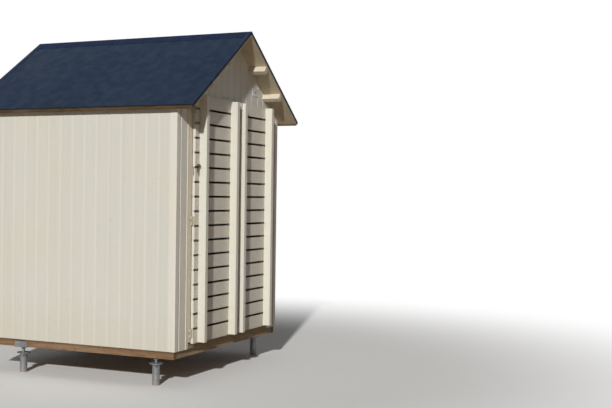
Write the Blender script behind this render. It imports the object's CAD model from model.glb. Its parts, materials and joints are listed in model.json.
# %% [markdown]
# # A wooden beach hut on screw feet
# The hut is a small timber cabin: upright boards on the walls, two tall slatted doors with
# fins, and a dark metal roof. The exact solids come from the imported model, which is loaded
# as a fixed frame. This script only dresses it: every board becomes its own mesh, and every
# surface gets a material made of nodes.

# %% Load the frame
import json
import math
import random

import bmesh
import bpy
from mathutils import Matrix, Vector

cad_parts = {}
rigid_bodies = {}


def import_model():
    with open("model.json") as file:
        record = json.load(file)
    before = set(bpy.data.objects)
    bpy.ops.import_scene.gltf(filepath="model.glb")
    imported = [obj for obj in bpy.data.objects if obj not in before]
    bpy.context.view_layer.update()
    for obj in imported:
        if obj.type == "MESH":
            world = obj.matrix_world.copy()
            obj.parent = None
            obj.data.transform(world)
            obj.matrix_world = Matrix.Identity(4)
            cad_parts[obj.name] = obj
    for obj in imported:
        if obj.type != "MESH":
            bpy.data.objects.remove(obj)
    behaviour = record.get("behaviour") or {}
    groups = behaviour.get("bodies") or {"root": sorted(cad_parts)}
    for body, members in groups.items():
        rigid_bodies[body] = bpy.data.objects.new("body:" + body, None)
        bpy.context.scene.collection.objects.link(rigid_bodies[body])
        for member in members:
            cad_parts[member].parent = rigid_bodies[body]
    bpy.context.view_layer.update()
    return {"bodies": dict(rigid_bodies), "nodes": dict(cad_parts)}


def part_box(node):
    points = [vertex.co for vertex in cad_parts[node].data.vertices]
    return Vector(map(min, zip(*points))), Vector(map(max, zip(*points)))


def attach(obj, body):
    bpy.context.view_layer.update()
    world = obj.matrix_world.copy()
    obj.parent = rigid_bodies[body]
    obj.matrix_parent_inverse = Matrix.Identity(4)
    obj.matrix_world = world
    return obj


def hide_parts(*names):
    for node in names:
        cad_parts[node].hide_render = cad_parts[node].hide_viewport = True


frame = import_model()
frame_objects = set(frame["nodes"].values()) | set(frame["bodies"].values())
for leftover in [o for o in bpy.data.objects if o not in frame_objects]:
    bpy.data.objects.remove(leftover)
chance = random.Random(41)

# %% [markdown]
# ## The camera
# A camera could be placed by eye, but the walls of a hut are straight and square, so its
# edges in the photograph fix the camera exactly: a lens of 59 mm on a 36 mm wide sensor,
# at standing height in front of the left corner. It comes first, because what it sees
# decides where detail is needed.


# %% Camera
def put(name, data):
    made = bpy.data.objects.new(name, data)
    bpy.context.scene.collection.objects.link(made)
    return made


LENS_MM = 59.05
CAMERA_AT = Vector((-8.3946, -5.4477, 1.6628))
CAMERA_RIGHT = Vector((0.3992, -0.9168, 0.0133)).normalized()
CAMERA_BACK = Vector((-0.9169, -0.3991, 0.0088)).normalized()

camera_data = bpy.data.cameras.new("camera")
camera_data.lens = LENS_MM
camera_data.sensor_width = 36.0
camera_data.sensor_fit = "HORIZONTAL"
camera = put("camera", camera_data)
camera_up = CAMERA_BACK.cross(CAMERA_RIGHT).normalized()
camera_right = camera_up.cross(CAMERA_BACK).normalized()
turn = Matrix((camera_right, camera_up, CAMERA_BACK)).transposed().to_4x4()
camera.matrix_world = Matrix.Translation(CAMERA_AT) @ turn
bpy.context.scene.camera = camera
print("camera looks along", -CAMERA_BACK)

# %% [markdown]
# ## The main sizes
# All lengths are in metres, in the frame of the solids: X runs left to right, Y front to
# back and Z up, with the ground at zero. They could be measured again from each solid, but
# the few main ones are named here, since most pieces use them. `soffit` gives the height
# of the roof boards' underside, and `sided` a span on one side of the middle line.

# %% Sizes
HALF_W = 1.0
FRONT_Y, BACK_Y = -1.03, 1.03
CLAD_Z, FLOOR_Z, EAVE_Z = 0.310, 0.332, 2.376
SIDE_OVER, FRONT_OVER = 0.074, 0.187
ROOF_ANGLE = math.radians(35.5458)
SLOPE = math.tan(ROOF_ANGLE)
COS_R, SIN_R = math.cos(ROOF_ANGLE), math.sin(ROOF_ANGLE)
OPEN_HALF, OPEN_TOP = 0.710, 2.430
DOOR_HALF = 0.750
LEAF_LOW, LEAF_HIGH = 0.350, 2.532
LEAF_Y0, LEAF_Y1 = -1.0635, -1.0355
SEAT = 0.0003
BOARD_FOOT = CLAD_Z - 0.0045
CLAD_OUT = 0.004
CORNER_T = 0.022
CORNER_SIDE_W, CORNER_FRONT_W = 0.070, 0.052
SIDES = ((-1, "left"), (1, "right"))


def soffit(x):
    return EAVE_Z + (HALF_W + SIDE_OVER - abs(x)) * SLOPE


def sided(side, a, b):
    return sorted((side * a, side * b))


print("ridge soffit at", round(soffit(0), 4))

# %% [markdown]
# ## Node trees
# Every finish is a tree of nodes. Nodes could be wired one by one, but then the few that
# matter are lost among the rest. So a small class holds one tree, and each of its methods
# says one thing: `calc` does a step of arithmetic, `between` turns a range of values into a
# soft step, and `blend` lays one colour over another.


# %% Node trees
class Nodes:
    def __init__(self, tree):
        self.tree = tree

    def fill(self, socket, value):
        if isinstance(value, bpy.types.NodeSocket):
            self.tree.links.new(value, socket)
        elif socket.type == "RGBA" and len(value) == 3:
            socket.default_value = (*value, 1.0)
        else:
            socket.default_value = value

    def add(self, kind, inputs=None, **settings):
        made = self.tree.nodes.new("ShaderNode" + kind)
        for key, value in settings.items():
            setattr(made, key, value)
        for key, value in (inputs or {}).items():
            self.fill(made.inputs[key], value)
        return made

    def calc(self, operation, *values, clamp=False):
        made = self.add("Math", dict(enumerate(values)), operation=operation, use_clamp=clamp)
        return made.outputs[0]

    def add_up(self, *pairs):
        """The sum of some values, each times its own weight."""
        total = 0.0
        for value, weight in pairs:
            total = self.calc("MULTIPLY_ADD", value, weight, total)
        return total

    def between(self, value, low, high, to_low=0.0, to_high=1.0):
        names = ("Value", "From Min", "From Max", "To Min", "To Max")
        sockets = dict(zip(names, (value, low, high, to_low, to_high)))
        return self.add("MapRange", sockets, interpolation_type="SMOOTHSTEP").outputs["Result"]

    def blend(self, under, over, share, how="MIX"):
        sockets = {0: share, 6: under, 7: over}
        return self.add("Mix", sockets, data_type="RGBA", blend_type=how).outputs[2]

    def stretch(self, vector, by):
        return self.add("VectorMath", {0: vector, 1: by}, operation="MULTIPLY").outputs[0]

    def axis(self, vector, name):
        return self.add("SeparateXYZ", {0: vector}).outputs[name]

    def noise(self, vector, scale, detail, rough):
        sockets = {"Vector": vector, "Scale": scale, "Detail": detail, "Roughness": rough}
        return self.add("TexNoise", sockets).outputs["Fac"]

    def cells(self, vector, scale):
        """Voronoi cells: the distance from each middle, and three random numbers a cell."""
        made = self.add("TexVoronoi", {"Vector": vector, "Scale": scale})
        numbers = self.add("SeparateColor", {"Color": made.outputs["Color"]}).outputs
        return made.outputs["Distance"], numbers

    def effect(self, source, **inputs):
        return self.add("Group", inputs, node_tree=source.tree).outputs


def srgb(*levels):
    """Colour levels of 0 to 255, as a screen shows them, turned into linear light."""
    shares = [level / 255.0 for level in levels]
    return tuple(s / 12.92 if s <= 0.04045 else ((s + 0.055) / 1.055) ** 2.4 for s in shares)


def tint(colour, *by):
    return tuple(c * k for c, k in zip(colour, by * 3))


print("white paper in linear light", srgb(240, 240, 240))

# %% [markdown]
# ## Shared effects
# Several finishes need the same few effects: the lines of wood grain, cloudy patches,
# dirt near the ground, runs left by rain, and small specks. Each is built once as a node
# group with named inputs, and each material places it with its own values. The groups put
# out plain numbers only, and the materials decide what a number means.


# %% Wood grain
def new_effect(name, inputs, outputs):
    """A node group. Its input called Place is a vector, and the others are numbers."""
    tree = bpy.data.node_groups.new(name, "ShaderNodeTree")
    for label in inputs:
        kind = "NodeSocketVector" if label == "Place" else "NodeSocketFloat"
        tree.interface.new_socket(name=label, in_out="INPUT", socket_type=kind)
    for label in outputs:
        tree.interface.new_socket(name=label, in_out="OUTPUT", socket_type="NodeSocketFloat")
    given = tree.nodes.new("NodeGroupInput").outputs
    return Nodes(tree), given, tree.nodes.new("NodeGroupOutput").inputs


grain_effect, given, result = new_effect("wood_grain", ["Place"], ["Fibres", "Rings", "Knots"])
n = grain_effect
n.fill(result["Fibres"], n.noise(n.stretch(given["Place"], (2.5, 160.0, 160.0)), 1.0, 4.0, 0.65))
ring_field = n.noise(n.stretch(given["Place"], (0.7, 9.0, 9.0)), 1.0, 1.0, 0.4)
ring_wave = n.calc("SINE", n.calc("MULTIPLY", ring_field, 95.0))
n.fill(result["Rings"], n.between(ring_wave, -1.0, 1.0))
away, numbers = n.cells(n.stretch(given["Place"], (2.2, 7.0, 7.0)), 1.0)
some = n.between(numbers[0], 0.55, 0.6)
n.fill(result["Knots"], n.calc("MULTIPLY", n.between(away, 0.16, 0.05), some))
print("effect", n.tree.name)

# %% [markdown]
# ## Weather
# Clouds are noise at two scales. Splash fades out above a given foot, with a ragged rim.
# Rain is noise drawn out down the wall. Specks are the middles of a few Voronoi cells,
# because real specks have clear rims, which plain noise would blur.

# %% Weather effects
cloud_effect, given, result = new_effect("cloudy_patches", ["Place", "Scale"], ["Cloud", "Fine Cloud"])
n = cloud_effect
n.fill(result["Cloud"], n.noise(given["Place"], given["Scale"], 2.0, 0.5))
finer = n.calc("MULTIPLY", given["Scale"], 9.0)
n.fill(result["Fine Cloud"], n.noise(given["Place"], finer, 4.0, 0.6))

splash_effect, given, result = new_effect("ground_splash", ["Place", "Foot", "Reach"], ["Mask"])
n = splash_effect
above = n.calc("SUBTRACT", n.axis(given["Place"], "Z"), given["Foot"])
share = n.calc("DIVIDE", above, given["Reach"])
ragged = n.calc("ADD", share, n.noise(given["Place"], 9.0, 4.0, 0.6))
n.fill(result["Mask"], n.between(ragged, 1.35, 0.45))

rain_effect, given, result = new_effect("rain_runs", ["Place", "Width"], ["Mask"])
n = rain_effect
rain_scale = n.calc("DIVIDE", 1.0, given["Width"])
rain_field = n.noise(n.stretch(given["Place"], (1.0, 1.0, 0.035)), rain_scale, 3.0, 0.6)
n.fill(result["Mask"], n.between(rain_field, 0.5, 0.72))

speck_effect, given, result = new_effect("specks", ["Place", "Scale", "Share"], ["Mask"])
n = speck_effect
away, numbers = n.cells(given["Place"], given["Scale"])
some = n.calc("LESS_THAN", numbers[1], given["Share"])
n.fill(result["Mask"], n.calc("MULTIPLY", n.between(away, 0.13, 0.07), some))
print("effects", [g.name for g in bpy.data.node_groups])

# %% [markdown]
# ## Layers of a finish
# A real finish is put on in layers: paint on wood, then dust, then stains. Each material is
# written the same way. `shade` is its colour so far, `lay` puts a colour over it where a
# mask is, and `lay_where` does so where a value runs from one level to another.
#
# A board carries three values of its own in its mesh. `grain` is the place along and
# across the board, moved by a random step so that no two boards match. `tone` is how light
# or dark this board is. `face_kind` is 1 on a rounded edge and -1 on a sawn end. One
# material then suits every board, whichever way it runs.


# %% Layers of a finish
class Finish(Nodes):
    def __init__(self, name, shade=(0.5, 0.5, 0.5)):
        self.made = bpy.data.materials.new(name)
        self.made.use_nodes = True
        super().__init__(self.made.node_tree)
        self.shader = self.tree.nodes["Principled BSDF"]
        self.place = self.add("TexCoord").outputs["Object"]
        self.shade = shade

    def lay(self, colour, mask, amount=1.0):
        share = self.calc("MULTIPLY", mask, amount, clamp=True)
        self.shade = self.blend(self.shade, colour, share)

    def lay_where(self, colour, value, low, high, amount=1.0):
        share = self.between(value, low, high, 0.0, amount)
        self.shade = self.blend(self.shade, colour, share)

    def read_board(self):
        """Takes up the three values of a board, and gives back the place in its grain."""
        wanted = (("grain", "Vector"), ("tone", "Fac"), ("face_kind", "Fac"))
        read = [self.add("Attribute", attribute_name=key).outputs[out] for key, out in wanted]
        grain, self.tone, self.kind = read
        return grain

    def vary(self, amount):
        """Makes each board a little lighter or darker by its own tone."""
        light = self.calc("MULTIPLY_ADD", self.tone, amount, 1.0)
        grey = self.add("CombineColor", {0: light, 1: light, 2: light}).outputs[0]
        self.shade = self.blend(self.shade, grey, 1.0, "MULTIPLY")

    def facing(self, name):
        """How squarely a face looks along an axis, either way."""
        normal = self.add("NewGeometry").outputs["Normal"]
        return self.calc("ABSOLUTE", self.axis(normal, name))

    def done(self, rough, height, distance, strength, gloss=0.5):
        """Wires the shade, the roughness and the bump, and gives back the material."""
        sockets = {"Height": height, "Distance": distance, "Strength": strength}
        normal = self.add("Bump", sockets).outputs["Normal"]
        names = ("Base Color", "Roughness", "Specular IOR Level", "Normal")
        for name, value in zip(names, (self.shade, rough, gloss, normal)):
            self.fill(self.shader.inputs[name], value)
        print("finish", self.made.name, "nodes", len(self.tree.nodes))
        return self.made


# %% [markdown]
# ## Cream paint
# The walls and doors have one thick coat of cream paint, brushed along each board. Seen
# close, it has brush lines, a faint grain under it, boards that differ a little, dust near
# the ground and a few dark specks. Edges keep more paint and look lighter, and bare ends
# are dark. The level faces inside the doors' slots are dirty, which keeps the slots dark.
# One function makes all the paints from the same recipe with other values.


# %% Cream paint
def cream_paint(name, colour, dirt=1.0, uneven=1.0, slot_dirt=0.0, worn_edge=0.45, bare_end=0.35):
    paint = Finish(name, tint(colour, 1.0, 0.99, 0.965))
    wood = paint.effect(grain_effect, Place=paint.read_board())
    cloud = paint.effect(cloud_effect, Place=paint.place, Scale=1.7)
    splash = paint.effect(splash_effect, Place=paint.place, Foot=CLAD_Z, Reach=0.55)
    rain = paint.effect(rain_effect, Place=paint.place, Width=0.06)
    speck = paint.effect(speck_effect, Place=paint.place, Scale=14.0, Share=0.035)

    paint.lay_where(tint(colour, 0.985, 0.993, 1.0), cloud["Cloud"], 0.35, 0.65)
    paint.vary(0.018 * uneven)
    paint.lay_where(tint(colour, 0.72), wood["Fibres"], 0.42, 0.75, 0.10 * uneven)
    paint.lay_where(srgb(186, 174, 150), cloud["Fine Cloud"], 0.5, 0.8, 0.08 * dirt)
    paint.lay(srgb(176, 150, 110), wood["Knots"], 0.06 * uneven)
    paint.lay(srgb(178, 168, 146), rain["Mask"], 0.07 * dirt)
    paint.lay(srgb(194, 178, 148), splash["Mask"], 0.16 * dirt)
    paint.lay(srgb(120, 104, 84), speck["Mask"], 0.22 * dirt)
    paint.lay(srgb(240, 236, 222), paint.kind, worn_edge)
    paint.lay(srgb(124, 104, 80), paint.kind, -bare_end)
    if slot_dirt:
        paint.lay_where(srgb(72, 54, 38), paint.facing("Z"), 0.80, 0.95, slot_dirt)

    sheen = paint.between(cloud["Fine Cloud"], 0.3, 0.7, 0.44, 0.60)
    height = paint.add_up((wood["Fibres"], 0.7), (wood["Rings"], 0.12), (cloud["Fine Cloud"], 0.3))
    return paint.done(sheen, height, 0.0011, 0.55, gloss=0.35)


wall_paint = cream_paint("cream_wall_paint", srgb(212, 210, 200), uneven=0.8, worn_edge=0.10)
DOOR_CREAM = srgb(214, 209, 198)
door_paint = cream_paint("cream_door_paint", DOOR_CREAM, uneven=1.2, slot_dirt=0.9, bare_end=0.0)
fin_paint = cream_paint("cream_fin_paint", srgb(222, 219, 207), dirt=0.7, bare_end=0.15)
trim_paint = cream_paint("cream_trim_paint", srgb(226, 222, 211), dirt=0.8)
jamb_paint = cream_paint("cream_jamb_paint", srgb(230, 221, 200))
purlin_paint = cream_paint("cream_purlin_paint", srgb(218, 209, 190))
soffit_paint = cream_paint("cream_soffit_paint", srgb(209, 197, 170), dirt=1.2, bare_end=0.9)

# %% [markdown]
# ## Bare and weathered timber
# Inside, the frame and the floor are plain softwood with rings and knots. The base frame
# outside has gone grey-brown, with dark weathered spots and sand on it, and its upper rim
# is stained where water runs off the boards. All are the same wood, so one function makes
# them, and `age` moves it from fresh to weathered.


# %% Timber
def bare_timber(name, light, dark, age=0.0, stain_z=None):
    timber = Finish(name, light)
    grain = timber.read_board()
    wood = timber.effect(grain_effect, Place=grain)
    fine = timber.effect(cloud_effect, Place=grain, Scale=3.0)["Fine Cloud"]

    timber.lay_where(dark, wood["Rings"], 0.25, 0.95, 0.75)
    timber.lay_where(dark, wood["Fibres"], 0.45, 0.75, 0.5)
    timber.lay(tint(dark, 0.42, 0.36, 0.32), wood["Knots"], 0.8)
    timber.vary(0.09)
    if age:
        broad = timber.effect(cloud_effect, Place=timber.place, Scale=2.2)
        speck = timber.effect(speck_effect, Place=timber.place, Scale=26.0, Share=0.16)
        timber.lay_where(srgb(158, 135, 108), broad["Cloud"], 0.4, 0.68, 0.55 * age)
        timber.lay_where(srgb(88, 68, 50), broad["Fine Cloud"], 0.55, 0.74, 0.62 * age)
        timber.lay(srgb(62, 48, 36), speck["Mask"], 0.6 * age)
    if stain_z:
        level = timber.axis(timber.place, "Z")
        timber.lay_where(srgb(74, 56, 38), level, stain_z, stain_z + 0.03, 0.7)
    timber.lay(tint(light, 1.35), timber.kind, 0.35)
    timber.lay(tint(dark, 0.62), timber.kind, -0.5)

    rough = timber.between(wood["Fibres"], 0.3, 0.7, 0.65, 0.85)
    height = timber.add_up((wood["Fibres"], 1.0), (wood["Rings"], 0.35), (fine, -0.3))
    return timber.done(rough, height, 0.0012 + 0.0010 * age, 0.6, gloss=0.25)


base_timber = bare_timber("base_timber", srgb(136, 107, 79), srgb(113, 88, 63), 1.0, CLAD_Z - 0.034)
sill_timber = bare_timber("sill_timber", srgb(168, 149, 120), srgb(140, 121, 95), age=1.0)
eave_timber = bare_timber("eave_timber", srgb(96, 80, 56), srgb(78, 62, 42), age=0.3)
frame_timber = bare_timber("frame_timber", srgb(206, 176, 132), srgb(170, 132, 88))
floor_timber = bare_timber("floor_timber", srgb(196, 168, 128), srgb(150, 116, 80), age=0.35)

# %% [markdown]
# ## Coated roof metal
# The roof is thin folded sheet with a matt slate-blue coat. Such a coat is never a flat
# colour: it has a very fine skin, slow clouds where it has faded, and dust that the rain
# has drawn down the slope. The dust follows the fall line, so its noise is stretched
# along it. The turned lower edge and the ends of the trims look down or away from the
# sky, so they are darker.


# %% Roof coat
def metal_coat(name, deep, faded, gloss, lip_z=None, dark_ends=0.0):
    coat = Finish(name, deep)
    cloud = coat.effect(cloud_effect, Place=coat.place, Scale=1.1)
    runs = coat.noise(coat.stretch(coat.place, (0.9, 26.0, 0.9)), 1.0, 4.0, 0.6)
    skin = coat.noise(coat.place, 900.0, 2.0, 0.6)
    chips = coat.effect(speck_effect, Place=coat.place, Scale=30.0, Share=0.02)

    coat.lay_where(faded, cloud["Cloud"], 0.35, 0.65)
    coat.lay_where(srgb(56, 67, 82), runs, 0.5, 0.8, 0.14)
    coat.lay_where(srgb(72, 80, 87), cloud["Fine Cloud"], 0.58, 0.8, 0.10)
    coat.lay(srgb(112, 114, 112), chips["Mask"], 0.35)
    if lip_z:
        level = coat.axis(coat.place, "Z")
        coat.lay_where(srgb(14, 16, 22), level, lip_z + 0.002, lip_z, 0.85)
    if dark_ends:
        coat.lay_where(srgb(18, 20, 30), coat.facing("Y"), 0.6, 0.8, dark_ends)

    rough = coat.between(cloud["Fine Cloud"], 0.3, 0.7, 0.5, 0.66)
    height = coat.add_up((skin, 0.35), (cloud["Fine Cloud"], 1.0))
    return coat.done(rough, height, 0.0008, 0.4, gloss)


SHEET_T = 0.003
LIP_TOP = EAVE_Z + SHEET_T + 0.034
roof_coat = metal_coat("roof_coat", srgb(24, 40, 61), srgb(28, 43, 63), 0.055, LIP_TOP)
verge_coat = metal_coat("verge_coat", srgb(29, 44, 66), srgb(33, 47, 68), 0.045, dark_ends=0.7)
ridge_coat = metal_coat("ridge_coat", srgb(26, 40, 66), srgb(30, 42, 68), 0.02)

# %% [markdown]
# ## Galvanised steel
# Hot-dipped zinc sets in flat crystals that lean different ways, the spangle. Voronoi
# cells give each crystal its own grey and its own gloss. White bloom, a little rust and
# sand at the ground come over it as masks, and where those are it is no longer metal.

# %% Galvanised steel
steel = Finish("galvanised_foot", srgb(134, 137, 140))
zinc_grey = steel.shade
steel.shade = tint(zinc_grey, 0.78)
away, crystal = steel.cells(steel.place, 95.0)
cloud = steel.effect(cloud_effect, Place=steel.place, Scale=9.0)
low = steel.effect(splash_effect, Place=steel.place, Foot=0.0, Reach=0.09)
rust = steel.between(cloud["Fine Cloud"], 0.56, 0.72, 0.0, 0.25)
sand = steel.calc("MULTIPLY", low["Mask"], 0.5)
steel.lay(zinc_grey, crystal[0])
steel.lay_where(srgb(160, 161, 160), cloud["Cloud"], 0.48, 0.7, 0.5)
steel.lay(srgb(122, 82, 54), rust)
steel.lay(srgb(176, 152, 122), sand)
metal = steel.calc("SUBTRACT", 0.55, steel.calc("ADD", rust, sand), clamp=True)
steel.fill(steel.shader.inputs["Metallic"], metal)
height = steel.add_up((crystal[2], 1.0), (cloud["Fine Cloud"], 1.5))
foot_zinc = steel.done(steel.between(crystal[1], 0.0, 1.0, 0.42, 0.6), height, 0.0004, 0.35)

# %% [markdown]
# ## Smaller finishes
# The plate over the door is white enamel on steel, so it is glossy and slightly uneven.
# The hinges were painted with the doors, and the paint has chipped. Screws and the dark
# bolt end are plain steel gone brown. The cord is laid fibre, red-brown with darker
# hollows between its strands, which a sine wave across it draws.


# %% Enamel, hinge paint, screw steel and cord
def cloudy_finish(name, first, second, scale):
    """The start of a finish that drifts between two colours."""
    made = Finish(name, first)
    cloud = made.effect(cloud_effect, Place=made.place, Scale=scale)
    made.lay(second, cloud["Cloud"])
    return made, cloud["Cloud"], cloud["Fine Cloud"]


white, cloud, fine = cloudy_finish("plate_enamel", srgb(214, 218, 224), srgb(196, 202, 212), 30.0)
rain = white.effect(rain_effect, Place=white.place, Width=0.012)
white.lay(srgb(140, 122, 100), rain["Mask"], 0.3)
enamel = white.done(white.between(fine, 0.3, 0.7, 0.18, 0.34), cloud, 0.0006, 0.3)

coat, cloud, fine = cloudy_finish("painted_hinge_steel", srgb(188, 180, 160), srgb(180, 171, 150), 22.0)
coat.lay_where(srgb(96, 76, 58), fine, 0.66, 0.72, 0.4)
rain = coat.effect(rain_effect, Place=coat.place, Width=0.008)
coat.lay(srgb(112, 92, 70), rain["Mask"], 0.3)
hinge_paint = coat.done(coat.between(fine, 0.3, 0.7, 0.45, 0.7), fine, 0.0004, 0.5)

brown, cloud, fine = cloudy_finish("browned_screw_steel", srgb(24, 20, 17), srgb(40, 31, 25), 60.0)
brown.fill(brown.shader.inputs["Metallic"], brown.between(fine, 0.3, 0.7, 0.0, 0.1))
screw_steel = brown.done(brown.between(cloud, 0.3, 0.7, 0.45, 0.7), fine, 0.0004, 0.6, gloss=0.12)

fibre = Finish("cord_fibre", srgb(27, 16, 14))
cloud = fibre.effect(cloud_effect, Place=fibre.place, Scale=45.0)
lay_of_cord = fibre.stretch(fibre.place, (260.0, 260.0, 330.0))
strand = fibre.calc("SINE", fibre.add_up(*((fibre.axis(lay_of_cord, name), 3.0) for name in "XYZ")))
fibre.lay_where(srgb(69, 35, 30), strand, -1.0, 0.6)
fibre.lay(srgb(60, 48, 41), cloud["Cloud"], 0.6)
height = fibre.calc("ADD", strand, cloud["Fine Cloud"])
cord_fibre = fibre.done(fibre.between(cloud["Fine Cloud"], 0.3, 0.7, 0.75, 0.95), height, 0.0009, 0.8)

# %% [markdown]
# ## Building boards
# A board could be a cube scaled to size, but a real board has rounded edges, a joint and
# sawn ends. Here each board is an outline swept along one axis, and many boards go into one
# kit before it becomes a mesh.

# %% Sweeping boards
ALONG = {"x": lambda p, q, r: (r, p, q), "y": lambda p, q, r: (p, r, q), "z": lambda p, q, r: (p, q, r)}


def start_kit():
    return {key: [] for key in ("verts", "faces", "grain", "tone", "kind", "soft")}


def add_faces(kit, faces, kind, soft):
    kit["faces"].extend(faces)
    kit["kind"].extend([kind] * len(faces))
    kit["soft"].extend([soft] * len(faces))


def add_bar(kit, outline, axis, start, end, edges=(), tone=None):
    """Sweeps an outline along an axis. start and end are places, or functions of the outline."""
    first, count = len(kit["verts"]), len(outline)
    own_tone = chance.uniform(-1.0, 1.0) if tone is None else tone
    step = [chance.uniform(0.0, 40.0), chance.uniform(0.0, 9.0), chance.uniform(0.0, 9.0)]
    for stop in (start, end):
        for p, q in outline:
            r = stop(p, q) if callable(stop) else stop
            kit["verts"].append(ALONG[axis](p, q, r))
            kit["grain"].append((r + step[0], p + step[1], q + step[2]))
            kit["tone"].append(own_tone)
    for i in range(count):
        j = (i + 1) % count
        side = (first + i, first + j, first + count + j, first + count + i)
        add_faces(kit, [side], 1.0 if i in edges else 0.0, i in edges)
    caps = range(first, first + count), range(first + 2 * count - 1, first + count - 1, -1)
    add_faces(kit, [tuple(cap) for cap in caps], -1.0, False)


def round_box(p0, p1, q0, q1, radius=0.0025, steps=2):
    """The outline of a board with rounded long edges, and which of its sides are the edges."""
    outline, edges = [], []
    corners = ((p1, q0, -90), (p1, q1, 0), (p0, q1, 90), (p0, q0, 180))
    for p, q, turn_from in corners:
        centre_p = p - radius if p == p1 else p + radius
        centre_q = q - radius if q == q1 else q + radius
        for k in range(steps + 1):
            angle = math.radians(turn_from + 90.0 * k / steps)
            if k < steps:
                edges.append(len(outline))
            outline.append((centre_p + radius * math.cos(angle), centre_q + radius * math.sin(angle)))
    return outline, edges


def add_beam(kit, x, y, z, axis, radius=0.0025):
    """A plain board or beam in the box x, y, z, with its grain along the axis."""
    spans = {"x": (y, z, x), "y": (x, z, y), "z": (x, y, z)}[axis]
    outline, edges = round_box(*spans[0], *spans[1], radius)
    add_bar(kit, outline, axis, *spans[2], edges)


outline, edges = round_box(0.0, 0.1, 0.0, 0.02)
print("a plain board has", len(outline), "sides, of which rounded", len(edges))

# %% [markdown]
# ## From a kit to a piece
# The mesh is made in one go from the lists, which is quicker than adding boards one by one
# with operators. Its three values become attributes. Smooth shading only belongs on the
# rounded edges, and sawn ends can get a small bevel modifier. The piece then rides on its
# body and says which solid it stands for.


# %% From a kit to a piece
def finish_kit(kit, name, material, replaces="", body="hut", soft_end=0.0):
    mesh = bpy.data.meshes.new(name)
    mesh.from_pydata(kit["verts"], [], kit["faces"])
    work = bmesh.new()
    work.from_mesh(mesh)
    bmesh.ops.recalc_face_normals(work, faces=work.faces)
    work.to_mesh(mesh)
    work.free()
    grain = mesh.attributes.new("grain", "FLOAT_VECTOR", "POINT")
    grain.data.foreach_set("vector", [c for place in kit["grain"] for c in place])
    tone = mesh.attributes.new("tone", "FLOAT", "POINT")
    tone.data.foreach_set("value", kit["tone"])
    kind = mesh.attributes.new("face_kind", "FLOAT", "CORNER")
    kind.data.foreach_set("value", [k for face, k in zip(kit["faces"], kit["kind"]) for _ in face])
    mesh.set_sharp_from_angle(angle=math.radians(50))
    mesh.polygons.foreach_set("use_smooth", kit["soft"])
    mesh.materials.append(material)
    made = put(name, mesh)
    if soft_end:
        bevel = made.modifiers.new("soft ends", "BEVEL")
        bevel.width = soft_end
        bevel.segments = 2
        bevel.limit_method = "ANGLE"
        bevel.angle_limit = math.radians(60)
    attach(made, body)
    if replaces:
        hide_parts(replaces)
    print(name, "faces", len(mesh.polygons), "on", body)


def recoat(node, material):
    """Gives a solid that stays in view its own material."""
    solid = frame["nodes"][node]
    solid.data.materials.clear()
    solid.data.materials.append(material)


# %% [markdown]
# ## Wall boards
# The walls are upright boards that lock together with a tongue and a groove, so no light
# passes between them. One edge of each board is eased off and the other ends in a thin
# lip, which together draw the fine lit line of the joint. The gable's joints are deeper
# and stand a little open. Sweeping the true section gives the right lines from any side,
# where a line in the paint would only look right from the front.

# %% Wall board section
BOARD_PITCH = 0.1292
LIP_W = 0.0230
SHALLOW = {"ease": (0.0150, 0.0018), "lip": 0.0009, "gap": 0.0002, "sink": 0.0}
DEEP = {"ease": (0.0120, 0.0070), "lip": 0.0, "gap": 0.0026, "sink": 0.0042}


def wall_section(u0, u1, out, inn, joint, lipped=True):
    """The section of one board across u, from its outer face to its inner face."""
    side = 1.0 if inn > out else -1.0
    depth = abs(inn - out)
    ease_w, ease_d = joint["ease"]
    lip, sink = joint["lip"] * lipped, joint["sink"]
    low, high = u0 + joint["gap"] / 2, u1 - joint["gap"] / 2
    points = [(low, ease_d), (low + ease_w * 0.45, ease_d * 0.42), (low + ease_w, 0.0)]
    if lip:
        points += [(high - LIP_W - 0.005, 0.0), (high - LIP_W, lip), (high, lip)]
    else:
        points += [(high - 0.0025, 0.0), (high - 0.0008, 0.0008), (high, 0.0025)]
    tongue, groove = u1 + 0.0045, u0 + 0.007
    points += [(high, 0.0075 + sink), (tongue, 0.0078 + sink), (tongue, 0.0112 + sink)]
    points += [(high, 0.0115 + sink), (high, depth), (low, depth), (low, 0.0120 + sink)]
    points += [(groove, 0.0118 + sink), (groove, 0.0072 + sink), (low, 0.0071 + sink)]
    return [(u, out + side * d) for u, d in points], (0, 1)


def joints_between(low, high, start, pitch, smallest=0.03):
    """The places of joints at a pitch from start, with the two ends added."""
    found = [low]
    k = math.ceil((low + smallest - start) / pitch)
    while start + k * pitch < high - smallest:
        found.append(start + k * pitch)
        k += 1
    return found + [high]


def add_wall_boards(kit, joints, out, inn, axes, start, end, joint=SHALLOW):
    """Boards between joints. axes says how the section's u and depth lie in the outline."""
    for u0, u1 in zip(joints, joints[1:]):
        inset = chance.uniform(0.0, 0.0003) * (1 if inn > out else -1)
        last = u1 == joints[-1]
        points, edges = wall_section(u0, u1, out + inset, inn, joint, not last and u1 - u0 >= 0.06)
        if last:
            points = [(min(u, u1 - 0.0003), d) for u, d in points]
        outline = [(d, u) if axes == "du" else (u, d) for u, d in points]
        add_bar(kit, outline, "z", start, end, edges)


print("points in a wall board", len(wall_section(0.0, BOARD_PITCH, 0.0, 0.018, SHALLOW)[0]))

# %% [markdown]
# ## Side walls
# Fourteen joints divide each long wall between its corner boards. The tops run up to the
# roof boards, and the bottoms hang a little over the base beam, which gives the thin
# shadow line there.

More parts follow.
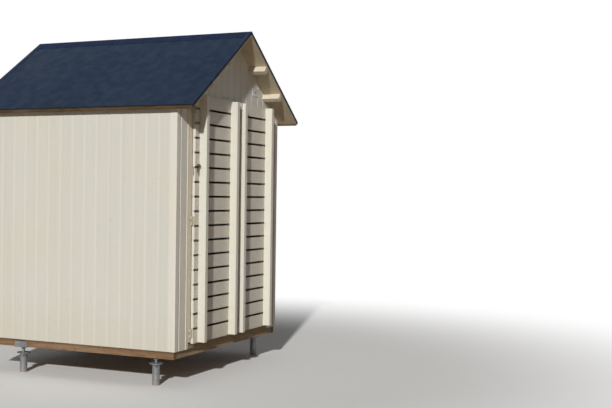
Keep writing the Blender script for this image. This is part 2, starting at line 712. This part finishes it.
# %% Side walls
SIDE_END = BACK_Y - CORNER_SIDE_W
side_joints = joints_between(-SIDE_END, SIDE_END, FRONT_Y + 0.0500, BOARD_PITCH)
print("side joints", len(side_joints) - 2)
for side, name in SIDES:
    kit = start_kit()
    faces = side * (HALF_W - CLAD_OUT), side * (HALF_W - CORNER_T)
    add_wall_boards(kit, side_joints, *faces, "du", BOARD_FOOT, soffit(HALF_W - CLAD_OUT) - SEAT)
    finish_kit(kit, "side_boards_" + name, wall_paint, "wall_" + name)

# %% [markdown]
# ## Front bays and back wall
# Beside the doorway there is only room for one plain board and, next to the door, a jamb
# board of a warmer tan, where less paint covers it. A groove parts the bay from the corner
# boards, and a rebate behind the leaf's edge stays dark. Both are recessed strips of dark
# timber, because a gap alone would show the light paint behind it. The jamb is cut short
# at the foot, where a bare board, the apron, runs under the leaves. The back isn't seen
# in the photograph, and it repeats the sides.

# %% Front bays
FRONT_EDGE = HALF_W - CORNER_FRONT_W
FRONT_OUT, FRONT_IN = FRONT_Y + CLAD_OUT, FRONT_Y + CORNER_T
BAY_FROM, BAY_TO = HALF_W - 0.0672, HALF_W - 0.1705
GROOVE_TO, GROOVE_OUT = BAY_FROM + 0.0120, FRONT_Y + 0.0088
JAMB_FROM, JAMB_FOOT, JAMB_TO = HALF_W - 0.1755, HALF_W - 0.2120, HALF_W - 0.2545
APRON_OUT, APRON_TOP = FRONT_Y + 0.0012, LEAF_LOW - 0.0065
APRON_HALF = JAMB_FOOT - 0.0004
LAP = 0.0002
for side, name in SIDES:
    bay, jamb, rebate = start_kit(), start_kit(), start_kit()
    full, short = (BOARD_FOOT, OPEN_TOP), (APRON_TOP + 0.001, OPEN_TOP)
    jamb_y = (FRONT_Y, FRONT_IN)
    add_beam(bay, sided(side, BAY_FROM, BAY_TO), (FRONT_OUT, FRONT_IN), full, "z", 0.0035)
    add_beam(rebate, sided(side, BAY_FROM, GROOVE_TO), (GROOVE_OUT, FRONT_IN), full, "z")
    add_beam(jamb, sided(side, JAMB_FROM, JAMB_FOOT), jamb_y, full, "z", 0.0018)
    add_beam(jamb, sided(side, JAMB_FOOT - LAP, JAMB_TO), jamb_y, short, "z", 0.0004)
    add_beam(rebate, sided(side, JAMB_TO - LAP, OPEN_HALF), jamb_y, short, "z", 0.001)
    finish_kit(bay, "bay_boards_" + name, trim_paint, "wall_front_" + name)
    finish_kit(jamb, "jamb_board_" + name, jamb_paint)
    finish_kit(rebate, "rebate_strips_" + name, eave_timber)

kit = start_kit()
add_beam(kit, (-APRON_HALF, APRON_HALF), (APRON_OUT, FRONT_IN), (BOARD_FOOT, APRON_TOP), "x", 0.0015)
finish_kit(kit, "doorway_apron", sill_timber)

BACK_START = 0.064
kit = start_kit()
back_faces = BACK_Y - CLAD_OUT, BACK_Y - CORNER_T
back_joints = joints_between(-FRONT_EDGE, FRONT_EDGE, BACK_START, BOARD_PITCH)
add_wall_boards(kit, back_joints, *back_faces, "ud", BOARD_FOOT, OPEN_TOP)
finish_kit(kit, "back_boards", wall_paint, "wall_back")

# %% [markdown]
# ## Gables
# The gable boards have the deeper joints, and are cut to the roof slope at the top. The cut
# is a function of the place along the wall, so each board gets its own slanted end.


# %% Gables
def under_roof(x, y):
    return soffit(x) - SEAT


GABLE_PITCH, GABLE_START = 0.122, 0.639
gable_joints = joints_between(-FRONT_EDGE, FRONT_EDGE, GABLE_START, GABLE_PITCH)
for name, faces in (("front", (FRONT_OUT, FRONT_IN)), ("back", back_faces)):
    kit = start_kit()
    add_wall_boards(kit, gable_joints, *faces, "ud", OPEN_TOP, under_roof, DEEP)
    finish_kit(kit, "gable_boards_" + name, wall_paint, "gable_" + name)

# %% [markdown]
# ## Corner boards
# Two plain boards meet at each corner: a wider one along the side and a narrow one on the
# front or back. The front one is set back a little, so the side board's edge keeps a
# shadow beside it. At the back a thin filler closes the gap to the wall boards. All tops
# follow the roof slope.

# %% Corner boards
CORNER_LAP, CORNER_SET = 0.0550, 0.0045
LAP_X = HALF_W - CORNER_LAP
CORNER_IN = BACK_Y - CORNER_T
kit = start_kit()
rise = (BOARD_FOOT, under_roof)
for side in (-1, 1):
    for end in (-1, 1):
        set_back = CORNER_SET if end < 0 else 0.0
        side_x = sided(side, HALF_W, HALF_W - CORNER_T)
        add_beam(kit, side_x, sided(end, CORNER_IN, BACK_Y - CORNER_SIDE_W), rise, "z", 0.0015)
        add_beam(kit, sided(side, HALF_W, LAP_X), sided(end, BACK_Y - set_back, CORNER_IN), rise, "z", 0.001)
        if end > 0:
            filler_x = sided(side, LAP_X - 0.0006, FRONT_EDGE)
            add_beam(kit, filler_x, (BACK_Y - CORNER_T, BACK_Y - CLAD_OUT), rise, "z", 0.003)
finish_kit(kit, "corner_trims", trim_paint, "corner_boards")

# %% [markdown]
# ## Door leaves
# Each leaf is seventeen level boards with open slots between them, held by two battens
# inside and two tall fins outside. The boards have fine ribs along them, which the paint
# keeps. A thin strip closes the rear half of the slots at the leaf's hinge edge, because
# the slots stop short of that edge in the photograph. Fins and battens are sawn square, so
# their ends get a small bevel modifier.

# %% Ribbed boards
SLOT_H, SLOT_PITCH, SLOT_COUNT = 0.0185, 0.1285, 16
SLOT_FIRST = LEAF_LOW + 0.131
RIB_PITCH, RIB_DEPTH, RIB_STEPS = 0.0107, 0.0011, 6
slots = [SLOT_FIRST + k * SLOT_PITCH for k in range(SLOT_COUNT)]
board_lows = [LEAF_LOW] + [z + SLOT_H / 2 for z in slots]
board_highs = [z - SLOT_H / 2 for z in slots] + [LEAF_HIGH]


def ribbed_board(front, back, low, high):
    """The section of a door board: a ribbed face between two rounded edges."""
    edge = 0.0015
    cut = edge * 0.3
    outline = [(back, low), (back, high), (front + edge, high), (front + cut, high - cut)]
    outline.append((front, high - edge))
    ribs = max(2, round((high - low - 2 * edge) / RIB_PITCH))
    run = (high - low - 2 * edge) / ribs
    for k in range(1, ribs * RIB_STEPS + 1):
        wave = 0.5 - 0.5 * math.cos(math.tau * k / RIB_STEPS)
        outline.append((front + RIB_DEPTH * wave, high - edge - run * k / RIB_STEPS))
    outline += [(front + cut, low + cut), (front + edge, low)]
    return outline, (2, 3, len(outline) - 3, len(outline) - 2)


print("boards a leaf", len(board_lows), "slot", SLOT_H)

# %% [markdown]
# ## Boards, fins and battens
# Sawn boards are never quite alike, so each board's ends and face vary by up to about a
# millimetre. The right leaf also carries a short block that fills the gap between the
# middle fins at the top.

# %% Door leaves
MEET, EDGE_STRIP = 0.003, 0.0055
FIN_W, FIN_DEPTH, FIN_OUTER, FIN_INNER = 0.045, 0.072, 0.680, 0.058
FIN_Z = (LEAF_LOW + 0.006, LEAF_HIGH - 0.012)
FIN_Y = (LEAF_Y0 - FIN_DEPTH, LEAF_Y0)
BATTEN_Y = (LEAF_Y1, LEAF_Y1 + 0.027)
BATTEN_Z = (FLOOR_Z + 0.040 + 0.012, OPEN_TOP - 0.012)
STRIP_Y = (LEAF_Y0 + 0.010, LEAF_Y1 - 0.0005)
STRIP_Z = (LEAF_LOW + 0.002, LEAF_HIGH - 0.002)
for side, name in SIDES:
    leaf = name + "_leaf"
    kit, fins, battens = start_kit(), start_kit(), start_kit()
    across = sided(side, DOOR_HALF, MEET)
    for low, high in zip(board_lows, board_highs):
        ends = (across[0] + chance.uniform(0, 0.0012), across[1] - chance.uniform(0, 0.0012))
        outline, edges = ribbed_board(LEAF_Y0 + chance.uniform(0, 0.0006), LEAF_Y1, low, high)
        add_bar(kit, outline, "x", *ends, edges)
    strip_x = sided(side, DOOR_HALF - 0.0015, DOOR_HALF - EDGE_STRIP)
    add_beam(kit, strip_x, STRIP_Y, STRIP_Z, "z", 0.0006)
    finish_kit(kit, "leaf_boards_" + name, door_paint, f"leaf_{name}_boards", body=leaf)
    for near in (FIN_OUTER, FIN_INNER + FIN_W):
        x = sided(side, near, near - FIN_W)
        add_beam(fins, x, FIN_Y, FIN_Z, "z", 0.0015)
        add_beam(battens, x, BATTEN_Y, BATTEN_Z, "z", 0.003)
    finish_kit(fins, "leaf_fins_" + name, fin_paint, f"leaf_{name}_fins", body=leaf, soft_end=0.002)
    inside = f"leaf_{name}_battens"
    finish_kit(battens, "leaf_battens_" + name, trim_paint, inside, body=leaf, soft_end=0.002)


def add_solid_box(kit, node, axis, radius=0.004):
    """A beam in the box of a solid, which keeps it in step with the frame."""
    low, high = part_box(node)
    add_beam(kit, (low.x, high.x), (low.y, high.y), (low.z, high.z), axis, radius)


kit = start_kit()
add_solid_box(kit, "meeting_block", "z")
finish_kit(kit, "meeting_block_piece", fin_paint, "meeting_block", body="right_leaf", soft_end=0.002)

# %% [markdown]
# ## Roof boards and purlins
# Boards under the metal run from front to back, and their undersides show as the soffit.
# Each slope is drawn in its own plane: `along_slope` turns a distance down the slope and a
# depth square to it into X and Z. The purlins use the same plane. At the front, the left
# ones stop a little further back than the right ones.

# %% Roof boards and purlins
DECK_T = 0.028
ROOF_Y = BACK_Y + FRONT_OVER
SLOPE_LENGTH = (HALF_W + SIDE_OVER) / COS_R
EAVE_BOARD_H, EAVE_BOARD_T = 0.042, 0.016
DECK_END = SLOPE_LENGTH - DECK_T * SLOPE - EAVE_BOARD_T
DECK_PITCH, DECK_GAP, DECK_RIM = 0.120, 0.0004, 0.0009
PURLIN_W, PURLIN_H = 0.050, 0.060
PURLIN_X = (0.340, 0.665)
PURLIN_ENDS = {-1: 0.045, 1: 0.007}


def along_slope(side, down, depth):
    """A point of the slope's section: down from the ridge, and depth below the soffit."""
    x = down * COS_R - depth * SIN_R
    return (side * x, soffit(0) - down * SIN_R - depth * COS_R)


def add_slope_bar(kit, side, down, depth, y, radius):
    section, edges = round_box(*down, *depth, radius)
    add_bar(kit, [along_slope(side, p, q) for p, q in section], "y", *y, edges)


rows = joints_between(0.0, DECK_END, DECK_END - DECK_PITCH, DECK_PITCH)
for side, name in SIDES:
    kit, eave = start_kit(), start_kit()
    for i, (down0, down1) in enumerate(zip(rows, rows[1:])):
        low, high = down0 + (DECK_GAP if i else 0.0), down1 - DECK_GAP
        ridge_end = 0.0 if i else DECK_T * SLOPE
        section = [(low + DECK_RIM, 0.0), (high - DECK_RIM, 0.0), (high, -DECK_RIM), (high, -DECK_T)]
        section += [(low - ridge_end, -DECK_T), (low, -DECK_RIM if i else 0.0)]
        outline = [along_slope(side, p, q) for p, q in section]
        add_bar(kit, outline, "y", -ROOF_Y, ROOF_Y, (1, 5), chance.uniform(-0.4, 0.4))
    finish_kit(kit, "roof_boards_" + name, soffit_paint, "roof_deck_" + name)
    eave_down, eave_depth = (DECK_END, DECK_END + EAVE_BOARD_T), (-DECK_T, EAVE_BOARD_H - DECK_T)
    add_slope_bar(eave, side, eave_down, eave_depth, (-ROOF_Y, ROOF_Y), 0.0015)
    finish_kit(eave, "eave_board_" + name, eave_timber)

kit = start_kit()
for side in (-1, 1):
    for x in PURLIN_X:
        down = (x / COS_R, x / COS_R + PURLIN_W)
        y = (PURLIN_ENDS[side] - ROOF_Y, ROOF_Y - 0.007)
        add_slope_bar(kit, side, down, (SEAT, PURLIN_H), y, 0.003)
finish_kit(kit, "purlin_bars", purlin_paint, "purlins", soft_end=0.0015)

# %% [markdown]
# ## Base and floor
# These are square timbers, so a box is all that a beam needs. The side beams have a small
# rebate along the top, where the wall boards hang over them. The sills' faces are flat
# and set back a little. The floor is the one that changes: the solid is a single slab, and
# here it becomes separate floorboards.

# %% Base and floor
BEAM_T = 0.045
BASE_LOW, BASE_HIGH = CLAD_Z - 0.071, CLAD_Z
BASE_X, BASE_Y = HALF_W - 0.008, BACK_Y - 0.018
BASE_Z = (BASE_LOW, BASE_HIGH)
SILL_SET, BEAM_GAP = 0.006, 0.0004
JOIST_X = (-0.5, 0.0, 0.5)
FLOOR_PITCH, FLOOR_GAP = 0.112, 0.0008
INNER_X, INNER_Y = HALF_W - CORNER_T, BACK_Y - CORNER_T
SILL_X, JOIST_Y = BASE_X - BEAM_T - BEAM_GAP, BASE_Y - BEAM_T - BEAM_GAP

beams, sills, joists, floor, bar = (start_kit() for _ in range(5))
for side in (-1, 1):
    section = [(0.003, BASE_LOW), (0.0, BASE_LOW + 0.003), (0.0, BASE_HIGH - 0.0095)]
    section += [(0.003, BASE_HIGH - 0.0075), (0.010, BASE_HIGH - 0.0070), (0.010, BASE_HIGH)]
    section += [(BEAM_T, BASE_HIGH), (BEAM_T, BASE_LOW)]
    add_bar(beams, [(side * (BASE_X - p), z) for p, z in section], "y", -BASE_Y, BASE_Y, (0, 2))
for end in (-1, 1):
    add_beam(sills, (-SILL_X, SILL_X), sided(end, BASE_Y - SILL_SET, BASE_Y - BEAM_T), BASE_Z, "x", 0.003)
for middle in JOIST_X:
    x = (middle - BEAM_T / 2, middle + BEAM_T / 2)
    add_beam(joists, x, (-JOIST_Y, JOIST_Y), BASE_Z, "y", 0.003)
floor_joints = joints_between(-INNER_Y, INNER_Y, -INNER_Y + FLOOR_PITCH, FLOOR_PITCH)
for y0, y1 in zip(floor_joints, floor_joints[1:]):
    top = FLOOR_Z - chance.uniform(0.0, 0.0006)
    y = (y0 + FLOOR_GAP, y1 - FLOOR_GAP)
    add_beam(floor, (-INNER_X, INNER_X), y, (CLAD_Z, top), "x", 0.002)
add_solid_box(bar, "threshold", "x")
finish_kit(beams, "side_beams", base_timber, "base_side_beams", soft_end=0.002)
finish_kit(sills, "sills", sill_timber, "base_sills", soft_end=0.001)
finish_kit(joists, "joists", base_timber, "floor_joists", soft_end=0.001)
finish_kit(floor, "floorboards", floor_timber, "floor_boards")
finish_kit(bar, "threshold_bar", base_timber, "threshold", soft_end=0.002)

# %% [markdown]
# ## Wall frame
# Inside, posts stand at the corners, in the middle of the walls and beside the doorway,
# with two rows of rails between them. It follows ordinary practice for a small hut, and
# stays as bare wood.

# %% Wall frame
POST = 0.045
RAIL_Z = CLAD_Z + 1.040
PLATE_LOW = EAVE_Z - 0.016
POST_IN, STUD_OUT = INNER_X - POST, OPEN_HALF + POST
FRONT_ROW, BACK_ROW = (-INNER_Y, POST - INNER_Y), (INNER_Y - POST, INNER_Y)
MIDDLE = (-POST / 2, POST / 2)
FIT = 0.0003

posts, rails = start_kit(), start_kit()
for side in (-1, 1):
    wall_x = sided(side, INNER_X, POST_IN)
    for row in (FRONT_ROW, MIDDLE, BACK_ROW):
        add_beam(posts, wall_x, row, (FLOOR_Z, PLATE_LOW), "z")
    add_beam(posts, sided(side, STUD_OUT, OPEN_HALF), FRONT_ROW, (FLOOR_Z, OPEN_TOP), "z")
    for z in (FLOOR_Z, RAIL_Z):
        level = (z, z + POST)
        add_beam(rails, wall_x, (FRONT_ROW[1] + FIT, MIDDLE[0] - FIT), level, "y")
        add_beam(rails, wall_x, (MIDDLE[1] + FIT, BACK_ROW[0] - FIT), level, "y")
        add_beam(rails, sided(side, POST_IN - FIT, STUD_OUT + FIT), FRONT_ROW, level, "x")
        add_beam(rails, sided(side, POST_IN - FIT, POST / 2 + FIT), BACK_ROW, level, "x")
add_beam(posts, MIDDLE, BACK_ROW, (FLOOR_Z, OPEN_TOP), "z")
finish_kit(posts, "posts", frame_timber, "wall_posts")
finish_kit(rails, "rails", frame_timber, "wall_rails")

# %% [markdown]
# ## Frame of the roof
# Head beams lie on the posts, plates follow the slope along the side walls, and studs
# reach from the head beams to the purlins and the ridge. Each stud's top is cut by a
# function, as on the gable boards.

# %% Frame of the roof
HEADER_HIGH = OPEN_TOP + 0.044
RIDGE_LOW = soffit(0) - 0.115
STUD_X = (0.320, 0.645)
STUD_CUT = (PURLIN_H + SEAT) / COS_R


def under_purlin(x, y):
    return soffit(x) - STUD_CUT


headers, studs, plates, ridge = (start_kit() for _ in range(4))
for row in (FRONT_ROW, BACK_ROW):
    add_beam(headers, (-POST_IN, POST_IN), row, (OPEN_TOP, HEADER_HIGH), "x")
    for x in STUD_X:
        for side in (-1, 1):
            add_beam(studs, sided(side, x, x + POST), row, (HEADER_HIGH, under_purlin), "z")
    add_beam(studs, MIDDLE, row, (HEADER_HIGH, RIDGE_LOW), "z")
for side in (-1, 1):
    outer, inner = side * INNER_X, side * POST_IN
    outline = [(outer, PLATE_LOW), (inner, PLATE_LOW), (inner, under_roof(inner, 0))]
    add_bar(plates, outline + [(outer, under_roof(outer, 0))], "y", -INNER_Y, INNER_Y)
rim_z = under_roof(POST / 2, 0)
outline = [(MIDDLE[0], RIDGE_LOW), (MIDDLE[1], RIDGE_LOW), (MIDDLE[1], rim_z)]
outline += [(0.0, under_roof(0, 0)), (MIDDLE[0], rim_z)]
add_bar(ridge, outline, "y", -INNER_Y, INNER_Y)
finish_kit(headers, "header_beams", frame_timber, "headers")
finish_kit(studs, "gable_stud_bars", frame_timber, "gable_studs")
finish_kit(plates, "wall_plates", frame_timber, "top_plates")
finish_kit(ridge, "ridge_bar", frame_timber, "ridge_beam")

# %% [markdown]
# ## Turned parts
# Screws, nuts, threads and weld beads are all a profile turned round an axis. `add_turned`
# does that with any number of sides, so six sides give a bolt head and twenty-four a
# washer.


# %% Turned parts
def add_turned(kit, centre, axis, profile, sides=16, turn_by=0.0):
    """Turns (radius, height) points round an axis through the centre. Both ends are closed."""
    axis = Vector(axis).normalized()
    other = Vector((0, 0, 1)) if abs(axis.z) < 0.9 else Vector((1, 0, 0))
    first_way = axis.cross(other).normalized()
    second_way = axis.cross(first_way)
    first = len(kit["verts"])
    for radius, height in profile:
        for k in range(sides):
            angle = math.tau * k / sides + turn_by
            offset = first_way * math.cos(angle) * radius + second_way * math.sin(angle) * radius
            place = tuple(Vector(centre) + axis * height + offset)
            kit["verts"].append(place)
            kit["grain"].append(place)
            kit["tone"].append(0.0)
    for ring in range(len(profile) - 1):
        for k in range(sides):
            a, b = first + ring * sides + k, first + ring * sides + (k + 1) % sides
            add_faces(kit, [(a, b, b + sides, a + sides)], 0.0, True)
    last = first + (len(profile) - 1) * sides
    caps = range(first, first + sides), range(last + sides - 1, last - 1, -1)
    add_faces(kit, [tuple(cap) for cap in caps], 0.0, False)


kit = start_kit()
add_turned(kit, (0, 0, 0), (0, 0, 1), [(0.01, 0.0), (0.01, 0.01)], 6)
print("a nut has", len(kit["faces"]), "faces")

# %% [markdown]
# ## Screw feet
# The foot solids keep their shape: tube, flange, rod and nut are all in them, with the
# hole for the turning bar. What they lack is small and goes on top: the thread of the rod,
# the weld under the flange, a chamfered washer under the nut and bolts through the rear
# brackets.

# %% Screw feet
FOOT_X, NUT_H, FLANGE_T = 0.942, 0.018, 0.008
FOOT_ROWS = (("front", -0.808, 0.124), ("rear", 0.618, 0.135))
BRACKET_BOLTS = (-0.045, 0.045)
THREAD_PITCH, ROD_R, THREAD_R = 0.003, 0.0121, 0.0132
TURN = [(ROD_R, 0.0), (ROD_R, 0.0004), (THREAD_R, 0.0014), (THREAD_R, 0.0017), (ROD_R, 0.0027)]
WELD = [(0.0325, -0.0001), (0.0372, -0.0001), (0.0362, -0.0028), (0.0335, -0.0052), (0.0325, -0.0052)]
WASHER = [(0.0125, 0.0), (0.0225, 0.0), (0.0228, -0.0006)]
WASHER += [(0.0228, -0.0022), (0.0222, -0.0028), (0.0125, -0.0028)]
BOLT = [(0.0075, 0.0), (0.0075, 0.0036), (0.0068, 0.0046), (0.003, 0.0046)]
for end, y, flange_drop in FOOT_ROWS:
    for side, side_name in SIDES:
        name = f"foot_{end}_{side_name}"
        x = side * FOOT_X
        flange_low = CLAD_Z - flange_drop
        rod_low, rod_high = flange_low + FLANGE_T, BASE_LOW - NUT_H
        recoat(name, foot_zinc)
        kit = start_kit()
        starts = [rod_low + k * THREAD_PITCH for k in range(int((rod_high - rod_low) / THREAD_PITCH))]
        thread = [(radius, z + dz) for z in starts for radius, dz in TURN]
        add_turned(kit, (x, y, 0.0), (0, 0, 1), thread, 20)
        add_turned(kit, (x, y, flange_low), (0, 0, 1), WELD, 24)
        add_turned(kit, (x, y, rod_high), (0, 0, 1), WASHER, 24)
        for dy in BRACKET_BOLTS if end == "rear" else ():
            at = (side * (BASE_X + 0.006), y - 0.012 + dy, BASE_LOW + 0.024)
            add_turned(kit, at, (side, 0, 0), BOLT, 6, chance.uniform(0, 1))
        finish_kit(kit, name + "_thread", foot_zinc)

# %% [markdown]
# ## Hinges
# The hinge solids stay too, because their knuckles turn on the joint's own axis. They take
# the painted steel, and each pin gets a small head top and bottom. A dark bolt head sits
# low on the left jamb, where it shows in the photograph.

# %% Hinges and stop bolt
PIN_X = DOOR_HALF + 0.0025 + 0.001 + 0.006
PIN_Y = LEAF_Y1 - 0.006
HINGE_ZS = [LEAF_LOW + 0.092 + k * 0.983 for k in range(3)]
PIN_HALF = 0.039
PIN_HEAD = [(0.0045, 0.0), (0.0045, 0.0016), (0.0036, 0.0024)]
BOLT_AT = (-0.774, FRONT_Y, CLAD_Z + 0.047)
BOLT_HEAD = [(0.0095, 0.0), (0.0095, 0.0070), (0.0082, 0.0092), (0.0035, 0.0098)]
for side, name in SIDES:
    for part in ("hinge_plates_", "hinge_knuckles_"):
        recoat(part + name, hinge_paint)
    kit = start_kit()
    for z in HINGE_ZS:
        for end in (-1, 1):
            at = (side * PIN_X, PIN_Y, z + end * PIN_HALF)
            add_turned(kit, at, (0, 0, end), PIN_HEAD, 12)
    finish_kit(kit, "hinge_pin_heads_" + name, hinge_paint)

kit = start_kit()
add_turned(kit, BOLT_AT, (0, -1, 0), BOLT_HEAD)
finish_kit(kit, "stop_bolt_head", screw_steel)

# %% [markdown]
# ## The plate on the gable
# A blank enamel plate sits on the gable boards, with a pressed rim and one dark screw near
# its middle. Two rounded outlines, one smaller and further out, give the pressed step.

# %% Gable plate
RIM = 0.005
HEAD_R, HEAD_H = 0.0075, 0.0025
SCREW_SHAPE = ((1, 0), (1, 0.35), (0.86, 0.75), (0.55, 1), (0.34, 1), (0.26, 0.45), (0.1, 0.4))
low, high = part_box("number_plate")
kit = start_kit()
outline, edges = round_box(low.x, high.x, low.z, high.z, 0.007, 4)
add_bar(kit, outline, "y", low.y + 0.0012, high.y, edges)
outline, edges = round_box(low.x + RIM, high.x - RIM, low.z + RIM, high.z - RIM, 0.006, 4)
add_bar(kit, outline, "y", low.y, low.y + 0.0016, edges)
finish_kit(kit, "enamel_plate", enamel, "number_plate", soft_end=0.0008)
kit = start_kit()
at = ((low.x + high.x) / 2 + 0.006, low.y, (low.z + high.z) / 2 + 0.002)
add_turned(kit, at, (0, -1, 0), [(HEAD_R * r, HEAD_H * h) for r, h in SCREW_SHAPE])
finish_kit(kit, "plate_screw", screw_steel)

# %% [markdown]
# ## Metal on the roof
# The folded sheets, verge trims and ridge cap are already their true shape in the solids,
# so they only take the coat. Screws with washers in the same coat run down the cap and
# along the eaves, as they do on any such roof.

# %% Roof metal
for side, name in SIDES:
    recoat("roof_sheet_" + name, roof_coat)
for name in ("front", "back"):
    recoat("verge_trim_" + name, verge_coat)
recoat("ridge_cap", ridge_coat)

ROOF_V = (DECK_T + SHEET_T) / COS_R
SCREW = [(0.0065, 0.0), (0.0065, 0.0006), (0.0038, 0.0008), (0.0034, 0.0026)]
SCREW_YS = [-1.120 + k * 0.280 for k in range(9)]
ON_CAP, ON_EAVE = (0.095, SHEET_T / COS_R + 0.0002), (SLOPE_LENGTH - 0.060, 0.0)
kit = start_kit()
for side in (-1, 1):
    for down, raised_by in (ON_CAP, ON_EAVE):
        x = down * COS_R
        for y in SCREW_YS:
            at = (side * x, y, soffit(x) + ROOF_V + raised_by)
            add_turned(kit, at, (side * SIN_R, 0.0, COS_R), SCREW, 12)
finish_kit(kit, "roof_screws", roof_coat)

# %% [markdown]
# ## The cord on the left door
# A short end of fibre cord is knotted through a slot at the hinge side. It is limp, so it
# is one smooth spline: from the edge of the leaf, where it hangs, through the slot, three
# times round in the knot, and down its longer loose end. Its shorter end is a second one.

# %% Cord
CORD_D = 0.005
tie_z = SLOT_FIRST + 11 * SLOT_PITCH
knot_x, knot_y, knot_z = -OPEN_HALF, LEAF_Y0 - 0.0143, tie_z + 0.0143
TURN_R, TURN_PITCH, TURN_POINTS, KNOT_TURNS = 0.0108, 0.0056, 12, 3


def add_cord(name, points):
    curve = bpy.data.curves.new(name, "CURVE")
    curve.dimensions = "3D"
    curve.bevel_depth = CORD_D / 2
    curve.bevel_resolution = 3
    curve.use_fill_caps = True
    curve.resolution_u = 6
    spline = curve.splines.new("NURBS")
    spline.points.add(len(points) - 1)
    for point, place in zip(spline.points, points):
        point.co = (*place, 1.0)
    spline.order_u = 3
    spline.use_endpoint_u = True
    curve.materials.append(cord_fibre)
    made = put(name, curve)
    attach(made, "left_leaf")
    runs = sum((Vector(a) - Vector(b)).length for a, b in zip(points, points[1:]))
    print(name, "points", len(points), "runs add up to", round(runs, 4))
    return made


edge_x, edge_y = -DOOR_HALF - 0.007, (LEAF_Y0 + LEAF_Y1) / 2
cord_route = [
    (edge_x, edge_y, tie_z - 0.074), (edge_x - 0.001, edge_y, tie_z - 0.045), (edge_x, edge_y, tie_z - 0.012),
    (edge_x + 0.001, edge_y, tie_z), (edge_x + 0.014, edge_y, tie_z), (knot_x - 0.026, edge_y, tie_z),
    (knot_x - 0.020, LEAF_Y0 - 0.002, tie_z), (knot_x - 0.018, LEAF_Y0 - 0.005, tie_z + 0.004),
]
for k in range(KNOT_TURNS * TURN_POINTS):
    angle = math.radians(-60.0) + math.tau * k / TURN_POINTS
    along = -0.014 + TURN_PITCH * k / TURN_POINTS * 1.15
    radius = TURN_R + 0.0004 * math.sin(k * 0.9)
    cord_route.append((knot_x + along, knot_y + radius * math.cos(angle), knot_z + radius * math.sin(angle)))
cord_route += [
    (knot_x + 0.010, LEAF_Y0 - 0.009, knot_z - 0.012), (knot_x + 0.013, LEAF_Y0 - 0.005, tie_z - 0.012),
    (knot_x + 0.015, LEAF_Y0 - 0.0045, tie_z - 0.040), (knot_x + 0.014, LEAF_Y0 - 0.0045, tie_z - 0.076),
]
long_cord = add_cord("door_cord", cord_route)
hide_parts("door_tie")
short_route = [
    (knot_x - 0.017, LEAF_Y0 - 0.0230, knot_z - 0.002), (knot_x - 0.018, LEAF_Y0 - 0.016, tie_z + 0.002),
    (knot_x - 0.016, LEAF_Y0 - 0.006, tie_z - 0.012), (knot_x - 0.015, LEAF_Y0 - 0.0045, tie_z - 0.030),
    (knot_x - 0.014, LEAF_Y0 - 0.0045, tie_z - 0.042),
]
add_cord("door_cord_end", short_route)

# %% [markdown]
# ## Floor
# The floor is plain and pale. It keeps the shadow of the hut near it, and turns to plain
# white further out, so that no horizon shows. What it sends up to the hut is the warm
# light of sand: `seen_straight` tells the rays that the camera and mirrors send from the
# rays that only carry light.


# %% Floor
def seen_straight(nodes):
    """1 for camera, mirror and glass rays, and 0 for those that light other surfaces."""
    rays = nodes.add("LightPath").outputs
    wanted = (rays[f"Is {name} Ray"] for name in ("Camera", "Glossy", "Transmission"))
    total = 0.0
    for ray in wanted:
        total = nodes.calc("ADD", total, ray, clamp=True)
    return total


REACH = 60.0
FADE_FROM, FADE_TO = 2.6, 7.0
SAND_LIGHT, FLOOR_PALE, WHITE = (0.300, 0.225, 0.178), (0.90, 0.895, 0.885), (1.0, 1.0, 1.0)
corners = [(-REACH, -REACH, 0), (REACH, -REACH, 0), (REACH, REACH, 0), (-REACH, REACH, 0)]
floor_mesh = bpy.data.meshes.new("studio_floor")
floor_mesh.from_pydata(corners, [], [(0, 1, 2, 3)])
studio_floor = put("studio_floor", floor_mesh)
ground = Finish("studio_floor")
away = ground.add("VectorMath", {0: ground.place}, operation="LENGTH").outputs["Value"]
seen = seen_straight(ground)
pale = ground.blend(SAND_LIGHT, FLOOR_PALE, seen)
ground.fill(ground.shader.inputs["Base Color"], pale)
ground.shader.inputs["Roughness"].default_value = 0.9
white = ground.add("Emission", {"Color": WHITE, "Strength": 1.0}).outputs[0]
fade = ground.calc("MULTIPLY", ground.between(away, FADE_FROM, FADE_TO), seen)
mixed = ground.add("MixShader", {0: fade, 1: ground.shader.outputs[0], 2: white}).outputs[0]
ground.fill(ground.tree.nodes["Material Output"].inputs["Surface"], mixed)
floor_mesh.materials.append(ground.made)
print("floor reaches", REACH)

# %% [markdown]
# ## World and lamp
# The world is white to the camera and to reflections, and lights the hut at a plain, low
# level. One lamp stands low at the left, where the sun stood, so that the fins and the
# roof edge cast their shadows the right way.

# %% World and lamp
WORLD_LEVEL = 0.088
LAMP_LEVEL = 3.00
world = bpy.data.worlds.new("studio")
bpy.context.scene.world = world
world.use_nodes = True
sky = Nodes(world.node_tree)
back = sky.tree.nodes["Background"].inputs
sky.fill(back["Color"], WHITE)
sky.fill(back["Strength"], sky.between(seen_straight(sky), 0.0, 1.0, WORLD_LEVEL, 1.0))

lamp_data = bpy.data.lights.new("studio_lamp", "SUN")
lamp_data.energy = LAMP_LEVEL
lamp_data.angle = math.radians(1.8)
lamp_data.color = (1.0, 0.99, 0.97)
lamp = put("studio_lamp", lamp_data)
TOWARDS_LAMP = Vector((-1.0, -0.31, 0.50)).normalized()
lamp.rotation_mode = "QUATERNION"
lamp.rotation_quaternion = TOWARDS_LAMP.to_track_quat("Z", "Y")
bpy.context.scene.view_settings.view_transform = "Standard"
print("lamp towards", TOWARDS_LAMP)
